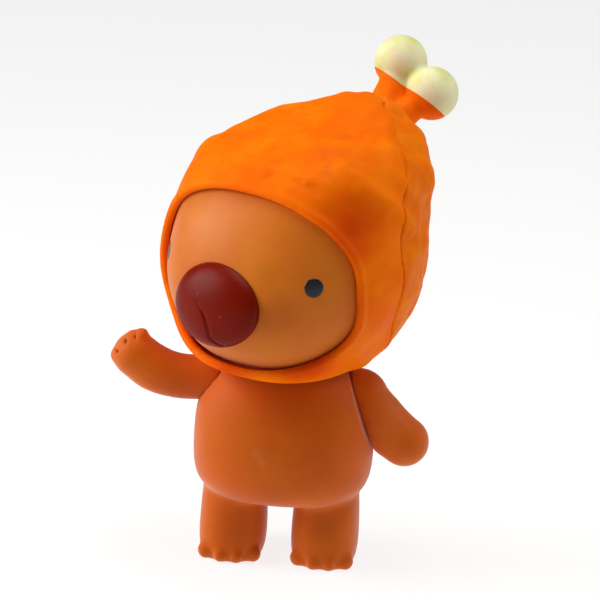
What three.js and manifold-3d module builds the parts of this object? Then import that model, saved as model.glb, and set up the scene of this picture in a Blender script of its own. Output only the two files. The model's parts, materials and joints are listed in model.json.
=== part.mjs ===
// A hollow vinyl figure of a small animal in a pixie hood: torso and legs in one shell, a head that turns on a
// neck peg, two arms that turn on shoulder pegs, and a two-part hood that ends in a pair of pompoms.
// Units are millimetres, +Z is up, the figure's front faces -Y and its left side is +X.
import * as THREE from "three";
import { mergeVertices } from "three/addons/utils/BufferGeometryUtils.js";
import Module from "manifold-3d";

const wasm = await Module();
wasm.setup();

// ---- Driving dimensions -------------------------------------------------------------------------------------
const GAP = 0.35; // clearance between two mouldings that sit against each other
const WALL = 1.8; // rotocast vinyl wall of the torso and head
const HOOD_WALL = 1.4;
const HEAD_TURN = 32; // degrees that the head looks to the figure's right at rest
const NECK_Z = 39; // top of the torso

const LEG = { x: 8.8, halfWidth: 6.2, front: 8.4, back: 7.2, top: 18.5 };
const SHOULDER = { x: 13.2, z: 33.4, tilt: 20 }; // joint centre; its axis rises by tilt towards the outside
const PEG = { stem: 1.6, plug: 2.0, plugLength: 3.2, flange: 2.9, flangeThick: 1, reach: 4.4, hole: 1.95 };
const NECK = { stem: 4.6, hole: 5.0, flange: 6.0, flangeThick: 1.2, plug: 5.6, bore: 5.95, top: 45 };
const FACE = { z: 57.2, halfWidth: 21.8, halfHeight: 16.7, squareness: 2.5 };
const NOSE = { front: 23.6, z: 53.6, halfWidth: 9.3, halfHeight: 7.6, depth: 3.4, pitch: 8, peg: 2.2 };
const BALL = { radius: 5.2, spread: 9.2, twist: 33, front: -34.8, z: 88.2 };
const STEM = { front: -27.4, z: 82.8, rise: 45, foot: 3.4, neck: 2.6, length: 7.4 };

const radians = THREE.MathUtils.degToRad;

// ---- Solids -------------------------------------------------------------------------------------------------

// A closed three.js geometry as a manifold-3d solid, its shared vertices merged.
function solid(geometry) {
  const bare = geometry.clone();
  bare.deleteAttribute("normal");
  bare.deleteAttribute("uv");
  const merged = mergeVertices(bare, 1e-4);
  return new wasm.Manifold(
    new wasm.Mesh({
      numProp: 3,
      vertProperties: merged.attributes.position.array,
      triVerts: new Uint32Array(merged.index.array),
    }),
  );
}

// A manifold-3d solid as a three.js mesh with its own name and finish.
function piece(name, body, finish) {
  const made = body.getMesh();
  const geometry = new THREE.BufferGeometry();
  geometry.setAttribute("position", new THREE.BufferAttribute(made.vertProperties, 3));
  geometry.setIndex(new THREE.BufferAttribute(made.triVerts, 1));
  geometry.computeVertexNormals();
  const mesh = new THREE.Mesh(geometry, new THREE.MeshStandardMaterial(finish));
  mesh.name = name;
  return mesh;
}

// One signed superellipse coordinate: the rounder 2, the squarer the higher.
const bulge = (c, squareness) => Math.sign(c) * Math.abs(c) ** (2 / squareness);

// A closed skin through a stack of level sections. Each station is [z, half width, front reach, back reach], and
// the first and last close the skin at its poles. grow moves the skin out (or in) by that many millimetres.
function skin(stations, { squareness = 2.3, around = 28, along = 12, grow = 0 } = {}) {
  const points = stations.map(([z, wide, front, back]) => ({
    size: new THREE.Vector3(wide, (front + back) / 2, z),
    centre: new THREE.Vector3(0, (back - front) / 2, 0),
  }));
  const sizes = new THREE.CatmullRomCurve3(points.map((p) => p.size), false, "centripetal");
  const centres = new THREE.CatmullRomCurve3(points.map((p) => p.centre), false, "centripetal");
  const [low, high] = [stations[0][0], stations.at(-1)[0]];
  const geometry = new THREE.SphereGeometry(1, around, along);
  const { position, uv } = geometry.attributes;
  for (let i = 0; i < position.count; i++) {
    const [share, turn] = [uv.getY(i), uv.getX(i) * 2 * Math.PI];
    const size = sizes.getPoint(share);
    const centre = centres.getPoint(share);
    const pole = share < 1e-6 || share > 1 - 1e-6;
    const wide = pole ? 0 : Math.max(size.x + grow, 0.2);
    const deep = pole ? 0 : Math.max(size.y + grow, 0.2);
    // Growing pushes the ends out with the sides.
    const stretch = (2 * size.z - low - high) / (high - low);
    position.setXYZ(
      i,
      wide * bulge(-Math.cos(turn), squareness),
      centre.y - deep * bulge(Math.sin(turn), squareness),
      size.z + grow * stretch,
    );
  }
  return solid(geometry);
}

// A rounded limb along a curve in the XZ plane, flat where it starts and round where it ends.
function limb(curve, radii, { around = 18, along = 11 } = {}) {
  const radius = new THREE.CatmullRomCurve3(radii.map((r, i) => new THREE.Vector3(r, i, 0)));
  const geometry = new THREE.SphereGeometry(1, around, along);
  const { position, uv } = geometry.attributes;
  const across = new THREE.Vector3(0, 1, 0);
  for (let i = 0; i < position.count; i++) {
    const [share, turn] = [uv.getY(i), uv.getX(i) * 2 * Math.PI];
    const start = share < 1e-6;
    const body = Math.min(share / 0.72, 1);
    const cap = Math.max(share - 0.72, 0) / 0.28;
    const at = curve.getPoint(start ? 0 : body);
    const along3 = curve.getTangent(body);
    const side = new THREE.Vector3().crossVectors(across, along3).normalize();
    const r = radius.getPoint(body).x;
    const ring = start ? 0 : r * Math.cos((cap * Math.PI) / 2);
    at.addScaledVector(along3, r * Math.sin((cap * Math.PI) / 2));
    at.addScaledVector(side, -ring * Math.cos(turn)).addScaledVector(across, -ring * Math.sin(turn));
    position.setXYZ(i, at.x, at.y, at.z);
  }
  return solid(geometry);
}

// A round bar from one height to another on the Z axis.
function bar(radius, from, to, segments = 20) {
  const geometry = new THREE.CylinderGeometry(radius, radius, to - from, segments);
  geometry.rotateX(Math.PI / 2).translate(0, 0, (from + to) / 2);
  return solid(geometry);
}

// A box between two corners.
function block(low, high) {
  const size = high.map((value, i) => value - low[i]);
  const middle = high.map((value, i) => (value + low[i]) / 2);
  return solid(new THREE.BoxGeometry(...size).translate(...middle));
}

// Carries a solid built on the Z axis to a shoulder: its axis points out of the body and up by the joint's tilt.
function toShoulder(body, side) {
  return body.rotate([0, side * (90 - SHOULDER.tilt), 0]).translate([side * SHOULDER.x, 0, SHOULDER.z]);
}

// ---- Torso and legs -----------------------------------------------------------------------------------------
const TORSO = [
  [12.2, 0, 0, 0],
  [12.4, 11.3, 9, 8.6],
  [14.6, 15.9, 13.3, 12.5],
  [18.4, 17.1, 15.2, 14.3],
  [22.5, 17.2, 15.4, 14.3],
  [28, 16.8, 14.1, 13],
  [33, 15.6, 12.2, 11.3],
  [37, 12.4, 10.1, 9.6],
  [38.7, 9.5, 8.4, 8.4],
  [NECK_Z, 0, 0, 0],
];
const LEG_SECTIONS = [
  [-0.6, 0, 0, 0],
  [-0.5, 4.8, 6.7, 5.5],
  [1.6, 6.0, 8.3, 6.9],
  [5, LEG.halfWidth, LEG.front, LEG.back],
  [10, 6.2, 7.8, 7.2],
  [15, 5.8, 7, 7],
  [LEG.top, 0, 0, 0],
];

function leg(side, grow = 0) {
  return skin(LEG_SECTIONS, { around: 20, along: 8, grow }).translate([side * LEG.x, 0, 0]);
}

function torsoShell() {
  const outside = skin(TORSO).add(leg(-1)).add(leg(1));
  const inside = skin(TORSO, { around: 20, along: 9, grow: -WALL }).add(leg(-1, -WALL)).add(leg(1, -WALL));
  let shell = outside
    .subtract(inside)
    .subtract(bar(NECK.hole, NECK_Z - 5, NECK_Z + 5))
    .subtract(block([-40, -40, -5], [40, 40, 0])); // flat soles
  for (const side of [-1, 1]) {
    // The flat that the arm turns on, then the hole that its peg snaps into.
    const flat = block([-20, -20, 0], [20, 20, 12]);
    shell = shell.subtract(toShoulder(flat, side));
    shell = shell.subtract(toShoulder(bar(PEG.hole, -4, 2), side));
  }
  return shell;
}

// ---- Arms ---------------------------------------------------------------------------------------------------
// The centre line of each arm outwards from the shoulder, as [distance from the middle of the figure, height].
const RAISED_ARM = [[16.6, 34], [20.6, 34.1], [25.2, 35.3], [29, 37.9]];
const RAISED_RADII = [4.1, 4.2, 4.3, 4.7, 4.8, 4.4];
const HANGING_ARM = [[15.8, 31.9], [18, 28.8], [20.4, 26], [22.2, 24]];
const HANGING_RADII = [4.8, 4.8, 4.8, 4.9, 4.8, 4.6];

function arm(side, points, radii) {
  const tilt = radians(SHOULDER.tilt);
  const root = (reach) => [SHOULDER.x + reach * Math.cos(tilt), SHOULDER.z + reach * Math.sin(tilt)];
  const line = [root(-3), root(1), ...points].map(([x, z]) => new THREE.Vector3(side * x, 0, z));
  const curve = new THREE.CatmullRomCurve3(line, false, "centripetal");
  const outwards = toShoulder(block([-40, -40, GAP], [40, 40, 60]), side);
  const socket = toShoulder(bar(PEG.plug + GAP, -1, PEG.plugLength + GAP), side);
  return limb(curve, radii).intersect(outwards).subtract(socket);
}

function shoulderPeg(side) {
  const stem = bar(PEG.stem, -PEG.reach, 1);
  const plug = bar(PEG.plug, GAP + 0.1, PEG.plugLength);
  const flange = bar(PEG.flange, -PEG.reach, PEG.flangeThick - PEG.reach);
  return toShoulder(stem.add(plug).add(flange), side);
}

// ---- Head ---------------------------------------------------------------------------------------------------
const HEAD = [
  [39.6, 0, 0, 0],
  [39.7, 10.2, 11, 10.2],
  [42.6, 14.9, 16.6, 14.4],
  [47.5, 19.3, 21.4, 18.6],
  [54, 22.1, 22.9, 20.4],
  [60, 22.5, 22.1, 21.2],
  [67, 21.9, 19.8, 21.7],
  [73.5, 20, 16, 21.4],
  [78.5, 14.6, 8.6, 17.6],
  [81.2, 0, -5.4, 5.4],
];
const HOOD = [
  [39.2, 0, 0, 0],
  [38.6, 12.1, 14.6, 12.7],
  [41.4, 16.4, 19, 17],
  [47.5, 21, 22.3, 20.6],
  [54, 24, 23.7, 23],
  [61, 24.4, 22.7, 24],
  [68, 23.4, 20.6, 24.6],
  [74, 22.2, 17.8, 25.2],
  [79.5, 19.4, 12.4, 25.8],
  [83.8, 13.2, 0.6, 26],
  [86.6, 6.4, -11.8, 23.4],
  [87.4, 0, -16.5, 16.5],
];
const SEAM = [[-10, 34], [-5, 46], [-1.8, 55], [-1, 63], [-2.8, 72], [-8.5, 80], [-18, 86], [-34, 92]];
const HEAD_SQUARENESS = 2.5;
const HOOD_SQUARENESS = 2.5;

const headSkin = (grow, around = 24) => skin(HEAD, { squareness: HEAD_SQUARENESS, around, along: 12, grow });
const hoodSkin = (grow, around = 30) => skin(HOOD, { squareness: HOOD_SQUARENESS, around, along: 13, grow });

// The nose is a thick lens on the muzzle with a round peg behind it, tipped up a little.
function nose(grow = 0) {
  const lens = new THREE.SphereGeometry(1, 24, 10);
  lens.scale(NOSE.halfWidth + grow, NOSE.depth + grow, NOSE.halfHeight + grow);
  const peg = new THREE.CylinderGeometry(NOSE.peg + grow, NOSE.peg + grow, 5.5 + grow, 20).translate(0, 3, 0);
  return solid(lens)
    .add(solid(peg))
    .rotate([-NOSE.pitch, 0, 0])
    .translate([0, -NOSE.front + 1.7, NOSE.z]);
}

function headShell() {
  return headSkin(0)
    .subtract(headSkin(-WALL, 20))
    .subtract(bar(NECK.bore, NECK_Z - 2, NECK_Z + 9))
    .subtract(nose(GAP));
}

function neckPeg() {
  const flangeTop = NECK_Z - WALL - 0.9;
  return bar(NECK.stem, flangeTop - NECK.flangeThick, NECK_Z + 1)
    .add(bar(NECK.flange, flangeTop - NECK.flangeThick, flangeTop))
    .add(bar(NECK.plug, NECK_Z + GAP, NECK.top));
}

// The hole in the hood's front that the face looks out of: a rounded outline swept forwards.
function faceOpening() {
  const outline = new THREE.Shape();
  const points = [];
  for (let i = 0; i < 24; i++) {
    const turn = (i / 24) * 2 * Math.PI;
    points.push(
      new THREE.Vector2(
        FACE.halfWidth * bulge(Math.cos(turn), FACE.squareness),
        FACE.z + FACE.halfHeight * bulge(Math.sin(turn), FACE.squareness),
      ),
    );
  }
  outline.setFromPoints(points);
  const sweep = new THREE.ExtrudeGeometry(outline, { depth: 30, bevelEnabled: false });
  return solid(sweep.rotateX(Math.PI / 2)).translate([0, -2, 0]);
}

// Everything behind (or in front of) the curved seam that runs from the hood's nape over its sides to the tip.
function seamSide(back, offset) {
  const far = back ? -60 : 60;
  const shape = new THREE.Shape();
  shape.moveTo(far, SEAM[0][1]);
  shape.lineTo(SEAM[0][0] + offset, SEAM[0][1]);
  shape.splineThru(SEAM.slice(1).map(([front, z]) => new THREE.Vector2(front + offset, z)));
  shape.lineTo(far, SEAM.at(-1)[1]);
  const sweep = new THREE.ExtrudeGeometry(shape, { depth: 80, bevelEnabled: false, curveSegments: 10 });
  // The outline is drawn with the front reach along X; turn it so that the front faces -Y.
  return solid(sweep.translate(0, 0, -40).rotateX(Math.PI / 2).rotateZ(-Math.PI / 2));
}

function stemPlace(body) {
  return body.rotate([-(90 - STEM.rise), 0, 0]).translate([0, -STEM.front, STEM.z]);
}

// The foot of the stem, its waist and the flare that carries the pompoms, turned about its own axis.
function stem(grow = 0) {
  const profile = [
    [0, -3],
    [STEM.foot + grow, -3],
    [STEM.foot + grow, 0.4],
    [STEM.neck + 0.9 + grow, 2.2],
    [STEM.neck + 0.6 + grow, 4],
    [STEM.neck + 1.4 + grow, STEM.length - 1.4],
    [0, STEM.length - 1.4],
  ];
  const turned = new THREE.LatheGeometry(profile.map(([r, z]) => new THREE.Vector2(r, z)), 24);
  return stemPlace(solid(turned.rotateX(Math.PI / 2)));
}

function pompomPair(grow = 0) {
  const twist = radians(BALL.twist);
  const half = BALL.spread / 2;
  const balls = [-1, 1].map((side) =>
    solid(new THREE.SphereGeometry(BALL.radius + grow, 18, 12)).translate([
      side * half * Math.cos(twist),
      -BALL.front,
      BALL.z - side * half * Math.sin(twist),
    ]),
  );
  const web = new THREE.CylinderGeometry(3.3 + grow, 3.3 + grow, BALL.spread, 16);
  web.rotateZ(Math.PI / 2).rotateY(twist).translate(0, -BALL.front, BALL.z);
  return balls[0].add(balls[1]).add(solid(web));
}

function hoodShell() {
  return hoodSkin(0)
    .subtract(hoodSkin(-HOOD_WALL, 20))
    .subtract(headSkin(GAP, 20))
    .subtract(faceOpening())
    .subtract(bar(11.4, NECK_Z - 4, NECK_Z + 6, 32))
    .subtract(stem(GAP));
}

// ---- The figure ---------------------------------------------------------------------------------------------
const SKIN_VINYL = { color: 0xb4582c, roughness: 0.55, metalness: 0 };
const FACE_VINYL = { color: 0xc77a48, roughness: 0.5, metalness: 0 };
const HOOD_VINYL = { color: 0xee6a0a, roughness: 0.5, metalness: 0 };
const NOSE_VINYL = { color: 0x6b1c10, roughness: 0.4, metalness: 0 };
const POMPOM_VINYL = { color: 0xe9e2c4, roughness: 0.55, metalness: 0 };
const JOINT_PLASTIC = { color: 0xe6e2da, roughness: 0.4, metalness: 0 };

const figure = new THREE.Group();
figure.add(piece("torso_and_legs_shell", torsoShell(), SKIN_VINYL));
figure.add(piece("raised_arm_shell", arm(-1, RAISED_ARM, RAISED_RADII), SKIN_VINYL));
figure.add(piece("raised_arm_peg", shoulderPeg(-1), JOINT_PLASTIC));
figure.add(piece("hanging_arm_shell", arm(1, HANGING_ARM, HANGING_RADII), SKIN_VINYL));
figure.add(piece("hanging_arm_peg", shoulderPeg(1), JOINT_PLASTIC));
figure.add(piece("neck_peg", neckPeg(), JOINT_PLASTIC));

const hood = hoodShell();
const stemAlone = stem().subtract(pompomPair(GAP));
const head = new THREE.Group();
head.add(
  piece("head_shell", headShell(), FACE_VINYL),
  piece("nose", nose(), NOSE_VINYL),
  piece("hood_front", hood.intersect(seamSide(false, 0.1)), HOOD_VINYL),
  piece("hood_back", hood.intersect(seamSide(true, -0.1)), HOOD_VINYL),
  piece("pompom_stem", stemAlone, HOOD_VINYL),
  piece("pompom_pair", pompomPair(), POMPOM_VINYL),
);
head.rotation.z = -radians(HEAD_TURN);
figure.add(head);

// The origin is the middle of the whole figure's footprint, on the surface that it stands on.
figure.updateMatrixWorld(true);
const extent = new THREE.Box3().setFromObject(figure, true);
const middle = extent.getCenter(new THREE.Vector3());
figure.position.set(-middle.x, -middle.y, -extent.min.z);

export default figure;
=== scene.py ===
"""A vinyl art toy: a small animal in an orange pixie hood, on a pale floor under soft studio light.

Each piece is built in millimetres about the neck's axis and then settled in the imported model's frame.
The figure's front faces -Y and its left side is +X.
"""
from __future__ import annotations

import json
import logging
import math
from dataclasses import dataclass
from enum import Enum
from typing import Callable, Sequence

import bmesh
import bpy
from mathutils import Matrix, Vector


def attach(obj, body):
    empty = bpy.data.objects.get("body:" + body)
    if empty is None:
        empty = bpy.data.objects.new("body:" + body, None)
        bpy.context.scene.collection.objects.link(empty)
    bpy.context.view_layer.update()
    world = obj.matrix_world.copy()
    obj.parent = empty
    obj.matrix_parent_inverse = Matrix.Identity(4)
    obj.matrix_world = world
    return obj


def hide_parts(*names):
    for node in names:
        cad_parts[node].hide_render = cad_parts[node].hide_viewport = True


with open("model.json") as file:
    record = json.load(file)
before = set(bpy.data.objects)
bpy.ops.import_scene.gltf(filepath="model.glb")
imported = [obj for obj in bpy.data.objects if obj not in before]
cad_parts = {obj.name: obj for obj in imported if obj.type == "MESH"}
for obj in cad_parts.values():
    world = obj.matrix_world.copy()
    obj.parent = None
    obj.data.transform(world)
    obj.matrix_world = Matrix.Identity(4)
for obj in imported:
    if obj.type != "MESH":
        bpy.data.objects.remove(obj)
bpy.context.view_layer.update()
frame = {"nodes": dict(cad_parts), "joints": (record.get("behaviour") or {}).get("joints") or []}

LOG = logging.getLogger("vinyl_toy")
MM = 0.001
RING = 24  # points round every cage's sections
CRISP_ANGLE = 50.0  # degrees between faces that still shade as one
Point = tuple[float, float, float]


# ---- Bench: modelling steps shared by the pieces -------------------------------------------------
def metres(point: Sequence[float]) -> Vector:
    """Turn a point in millimetres into metres."""
    return Vector(point) * MM


@dataclass(frozen=True)
class Section:
    """One level section of a moulding: height, half width, and reach to the front and to the back."""

    z: float
    wide: float
    front: float
    back: float

    @property
    def deep(self) -> float:
        """Half of the section's depth."""
        return (self.front + self.back) / 2

    @property
    def centre(self) -> Vector:
        """Middle of the section, in metres."""
        return metres((0, (self.back - self.front) / 2, self.z))


def sections(*rows: Sequence[float]) -> tuple[Section, ...]:
    """Make sections from rows of height, half width, front and back reach."""
    return tuple(Section(*row) for row in rows)


class Bench:
    """Modelling steps, each on one object that is made the active one."""

    @staticmethod
    def clear() -> None:
        """Leave edit mode and deselect everything."""
        if bpy.context.object is not None and bpy.context.object.mode != "OBJECT":
            bpy.ops.object.mode_set(mode="OBJECT")
        bpy.ops.object.select_all(action="DESELECT")

    @staticmethod
    def take(piece: bpy.types.Object, *others: bpy.types.Object) -> None:
        """Select one piece and make it active, with any others selected beside it.

        Args:
            piece: The piece to make active.
            others: Pieces that are selected too.
        """
        Bench.clear()
        for one in (piece, *others):
            one.select_set(True)
        bpy.context.view_layer.objects.active = piece

    @staticmethod
    def edit(piece: bpy.types.Object) -> None:
        """Enter edit mode on a piece, with nothing selected.

        Args:
            piece: The piece to edit.
        """
        Bench.take(piece)
        bpy.ops.object.mode_set(mode="EDIT")
        bpy.ops.mesh.select_mode(type="VERT")
        bpy.ops.mesh.select_all(action="DESELECT")

    @staticmethod
    def pick(test: Callable[[Vector], bool]) -> int:
        """Select the vertices of the edited mesh whose place passes a test.

        Args:
            test: Takes a vertex's place in millimetres.

        Returns:
            How many vertices are selected.
        """
        mesh = bmesh.from_edit_mesh(bpy.context.edit_object.data)
        count = 0
        for vertex in mesh.verts:
            chosen = test(vertex.co / MM)
            vertex.select_set(chosen)
            count += chosen
        mesh.select_flush_mode()
        bmesh.update_edit_mesh(bpy.context.edit_object.data)
        return count

    @staticmethod
    def apply(piece: bpy.types.Object, kind: str, **settings: object) -> None:
        """Add a modifier to a piece and apply it.

        Args:
            piece: The piece to change.
            kind: The modifier's type.
            settings: The modifier's own properties.
        """
        Bench.take(piece)
        modifier = piece.modifiers.new(kind.lower(), kind)
        for key, value in settings.items():
            setattr(modifier, key, value)
        bpy.ops.object.modifier_apply(modifier=modifier.name)

    @staticmethod
    def smooth_cage(piece: bpy.types.Object, levels: int = 2) -> None:
        """Subdivide a cage into a smooth form."""
        Bench.apply(piece, "SUBSURF", levels=levels, render_levels=levels)

    @staticmethod
    def cut(piece: bpy.types.Object, cutter: bpy.types.Object) -> None:
        """Take a cutter's volume out of a piece, and throw the cutter away."""
        Bench.apply(piece, "BOOLEAN", operation="DIFFERENCE", object=cutter, solver="EXACT")
        bpy.data.objects.remove(cutter)

    @staticmethod
    def common(piece: bpy.types.Object, other: bpy.types.Object) -> None:
        """Keep only what a piece shares with another, which is thrown away."""
        Bench.apply(piece, "BOOLEAN", operation="INTERSECT", object=other, solver="EXACT")
        bpy.data.objects.remove(other)

    @staticmethod
    def join(name: str, *parts: bpy.types.Object) -> bpy.types.Object:
        """Join parts into one object.

        Args:
            name: The joined object's name.
            parts: The parts; the first one is kept.

        Returns:
            The joined object.
        """
        Bench.take(parts[0], *parts[1:])
        bpy.ops.object.join()
        parts[0].name = name
        parts[0].data.name = name
        return parts[0]

    @staticmethod
    def fuse(piece: bpy.types.Object, voxel: float, relax: int) -> None:
        """Melt overlapping parts into one skin and relax it, as a mould's polished surface is.

        Args:
            piece: The piece to melt.
            voxel: Size of the new skin's facets in millimetres.
            relax: Rounds of smoothing.
        """
        Bench.apply(piece, "REMESH", mode="VOXEL", voxel_size=voxel * MM, adaptivity=0.0)
        Bench.apply(piece, "SMOOTH", factor=0.5, iterations=relax)

    @staticmethod
    def copy(piece: bpy.types.Object, name: str) -> bpy.types.Object:
        """Copy a piece with a mesh of its own.

        Args:
            piece: The piece to copy.
            name: The copy's name.

        Returns:
            The copy.
        """
        twin = piece.copy()
        twin.data = piece.data.copy()
        twin.name = name
        twin.data.name = name
        bpy.context.scene.collection.objects.link(twin)
        return twin

    @staticmethod
    def slice(piece: bpy.types.Object, at: Sequence[float], normal: Sequence[float]) -> None:
        """Cut a piece on a plane, drop the side behind the plane, and close the cut.

        Args:
            piece: A closed piece.
            at: A point of the plane in millimetres.
            normal: Points to the side that is kept.
        """
        Bench.edit(piece)
        bpy.ops.mesh.select_all(action="SELECT")
        bpy.ops.mesh.bisect(
            plane_co=metres(at), plane_no=normal, use_fill=True, clear_inner=True, threshold=1e-7
        )
        bpy.ops.object.mode_set(mode="OBJECT")

    @staticmethod
    def push(
        piece: bpy.types.Object, line: Sequence[Sequence[float]], out: float, reach: float, near: float
    ) -> None:
        """Raise or sink the skin along a line of points, fading out around it.

        Args:
            piece: The piece to shape.
            line: Points that the ridge or dent follows, in millimetres.
            out: How far the skin moves outwards, or inwards if negative.
            reach: How far the change fades out over.
            near: How close to the line the skin moves in full.
        """
        points = [Vector(point) for point in line]
        spans = list(zip(points, points[1:])) or [(points[0], points[0])]

        def beside(place: Vector) -> bool:
            """Whether a place is near enough to the line to move in full."""
            for start, end in spans:
                along = end - start
                share = 0.0
                if along.length > 1e-6:
                    share = min(max((place - start).dot(along) / along.length_squared, 0.0), 1.0)
                if (place - start - along * share).length < near:
                    return True
            return False

        Bench.edit(piece)
        if Bench.pick(beside):
            bpy.ops.transform.shrink_fatten(
                value=out * MM,
                use_proportional_edit=True,
                proportional_edit_falloff="SMOOTH",
                proportional_size=reach * MM,
            )
        bpy.ops.object.mode_set(mode="OBJECT")

    @staticmethod
    def mend(piece: bpy.types.Object, smooth: bool = True) -> None:
        """Turn a piece's faces outwards and shade it smooth.

        Args:
            piece: The piece to mend.
            smooth: Whether its faces are shaded smooth.
        """
        Bench.edit(piece)
        bpy.ops.mesh.select_all(action="SELECT")
        bpy.ops.mesh.normals_make_consistent(inside=False)
        bpy.ops.object.mode_set(mode="OBJECT")
        if smooth:
            bpy.ops.object.shade_smooth()

    @staticmethod
    def crisp(piece: bpy.types.Object) -> None:
        """Shade a piece smooth, with its cut edges left sharp."""
        Bench.take(piece)
        bpy.ops.object.shade_smooth_by_angle(angle=math.radians(CRISP_ANGLE))


def loft(name: str, rows: Sequence[Section], squareness: float) -> bpy.types.Object:
    """Build a closed cage by extruding a squared ring through level sections, from the bottom up.

    Args:
        name: The cage's name.
        rows: The sections from the bottom up.
        squareness: The ring's superellipse exponent; 2 is an ellipse.

    Returns:
        The cage, closed at both ends.
    """
    Bench.clear()
    first = rows[0]
    bpy.ops.mesh.primitive_circle_add(vertices=RING, radius=MM, fill_type="NGON", location=first.centre)
    cage = bpy.context.object
    cage.name = name
    bpy.ops.object.transform_apply(location=True, rotation=True, scale=True)
    Bench.edit(cage)
    for degrees in (15, 30, 45):
        angle = math.radians(degrees)
        reach = (math.cos(angle) ** squareness + math.sin(angle) ** squareness) ** (-1 / squareness)
        centre = first.centre / MM

        def on_ray(place: Vector, aim: float = angle) -> bool:
            """Whether a place lies on the ring's ray at this angle, or on one of its mirror images."""
            bearing = math.atan2(abs(place.y - centre.y), abs(place.x - centre.x))
            return min(abs(bearing - aim), abs(math.pi / 2 - bearing - aim)) < 0.05

        Bench.pick(on_ray)
        bpy.ops.transform.resize(value=(reach, reach, 1), center_override=first.centre)
    bpy.ops.mesh.select_all(action="SELECT")
    bpy.ops.transform.resize(value=(first.wide, first.deep, 1), center_override=first.centre)
    for low, high in zip(rows, rows[1:]):
        bpy.ops.mesh.extrude_region_move(TRANSFORM_OT_translate={"value": high.centre - low.centre})
        bpy.ops.transform.resize(
            value=(high.wide / low.wide, high.deep / low.deep, 1), center_override=high.centre
        )
    bpy.ops.object.mode_set(mode="OBJECT")
    Bench.mend(cage)
    return cage


def tube(
    name: str, line: Sequence[Sequence[float]], radii: Sequence[float], closed: bool = False
) -> bpy.types.Object:
    """Draw a round bar along a smooth line, with its thickness given at each point.

    Args:
        name: The bar's name.
        line: Points in millimetres.
        radii: One radius for each point.
        closed: Whether the line joins up with its start.

    Returns:
        The bar as a closed mesh.
    """
    Bench.clear()
    bpy.ops.curve.primitive_bezier_curve_add(location=(0, 0, 0))
    bar = bpy.context.object
    bar.name = name
    curve = bar.data
    curve.dimensions = "3D"
    curve.bevel_depth = MM
    curve.bevel_resolution = 6
    curve.resolution_u = 8
    curve.use_fill_caps = not closed
    spline = curve.splines[0]
    spline.bezier_points.add(len(line) - 2)
    spline.use_cyclic_u = closed
    for knot, place, radius in zip(spline.bezier_points, line, radii):
        knot.co = metres(place)
        knot.radius = radius
        knot.handle_left_type = knot.handle_right_type = "AUTO"
    bpy.ops.object.convert(target="MESH")
    made = bpy.context.object
    Bench.edit(made)
    bpy.ops.mesh.select_all(action="SELECT")
    bpy.ops.mesh.remove_doubles(threshold=1e-6)
    bpy.ops.object.mode_set(mode="OBJECT")
    Bench.mend(made)
    return made


def ball(
    name: str, at: Sequence[float], size: Sequence[float], tilt: Point = (0, 0, 0)
) -> bpy.types.Object:
    """Add a rounded blank: a fine sphere stretched to its half sizes.

    Args:
        name: The blank's name.
        at: Its centre in millimetres.
        size: Its half sizes along X, Y and Z.
        tilt: Its turns about X, Y and Z in degrees.

    Returns:
        The blank.
    """
    Bench.clear()
    bpy.ops.mesh.primitive_uv_sphere_add(
        segments=48, ring_count=24, radius=1, location=metres(at), rotation=[math.radians(a) for a in tilt]
    )
    blank = bpy.context.object
    blank.name = name
    blank.scale = metres(size)
    bpy.ops.object.transform_apply(location=True, rotation=True, scale=True)
    return blank


def rod(
    name: str, at: Sequence[float], along: Sequence[float], radius: float, length: float
) -> bpy.types.Object:
    """Add a round bar centred on a point.

    Args:
        name: The bar's name.
        at: Its centre in millimetres.
        along: The direction of its axis.
        radius: Its radius.
        length: Its full length.

    Returns:
        The bar.
    """
    Bench.clear()
    turn = Vector((0, 0, 1)).rotation_difference(Vector(along)).to_euler()
    bpy.ops.mesh.primitive_cylinder_add(
        vertices=48, radius=radius * MM, depth=length * MM, location=metres(at), rotation=turn
    )
    bar = bpy.context.object
    bar.name = name
    bpy.ops.object.transform_apply(location=True, rotation=True, scale=True)
    return bar


def outline_prism(
    name: str, corners: Sequence[tuple[float, float]], half: float, plane: str
) -> bpy.types.Object:
    """Extrude a closed flat outline into a prism that straddles the figure's middle plane.

    Args:
        name: The prism's name.
        corners: The outline, as (Y, Z) for plane "YZ" or (X, Z) for plane "XZ", in millimetres.
        half: Half of the prism's thickness.
        plane: The plane that the outline is drawn in.

    Returns:
        The prism.
    """
    Bench.clear()
    bpy.ops.mesh.primitive_circle_add(
        vertices=len(corners), radius=MM, fill_type="NGON", location=(0, 0, 0)
    )
    prism = bpy.context.object
    prism.name = name
    for vertex, (a, b) in zip(prism.data.vertices, corners):
        vertex.co = metres((-half, a, b) if plane == "YZ" else (a, -half, b))
    Bench.edit(prism)
    bpy.ops.mesh.select_all(action="SELECT")
    travel = metres((2 * half, 0, 0) if plane == "YZ" else (0, 2 * half, 0))
    bpy.ops.mesh.extrude_region_move(TRANSFORM_OT_translate={"value": travel})
    bpy.ops.object.mode_set(mode="OBJECT")
    Bench.mend(prism, smooth=False)
    return prism


# ---- The figure's own measures, in millimetres about the neck's axis -----------------------------
NECK = Vector(next(joint["pos_m"] for joint in frame["joints"] if joint["name"] == "neck_turn"))
SHOULDER = (13.2, 0.0, 33.4)
SHOULDER_TILT = 20.0
HEAD_TURN = -32.0


class Side(Enum):
    """The figure's own sides; the value is the sign of X."""

    RIGHT = -1
    LEFT = 1


def shoulder_axis(side: Side) -> Vector:
    """Direction of a shoulder's axis, out of the body."""
    tilt = math.radians(SHOULDER_TILT)
    return Vector((side.value * math.cos(tilt), 0, math.sin(tilt)))


def shoulder_point(side: Side, out: float = 0.0) -> Vector:
    """A point on a shoulder's axis.

    Args:
        side: Which shoulder.
        out: Millimetres outwards from the joint's centre.

    Returns:
        The point in millimetres.
    """
    return Vector((side.value * SHOULDER[0], 0, SHOULDER[2])) + shoulder_axis(side) * out


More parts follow.
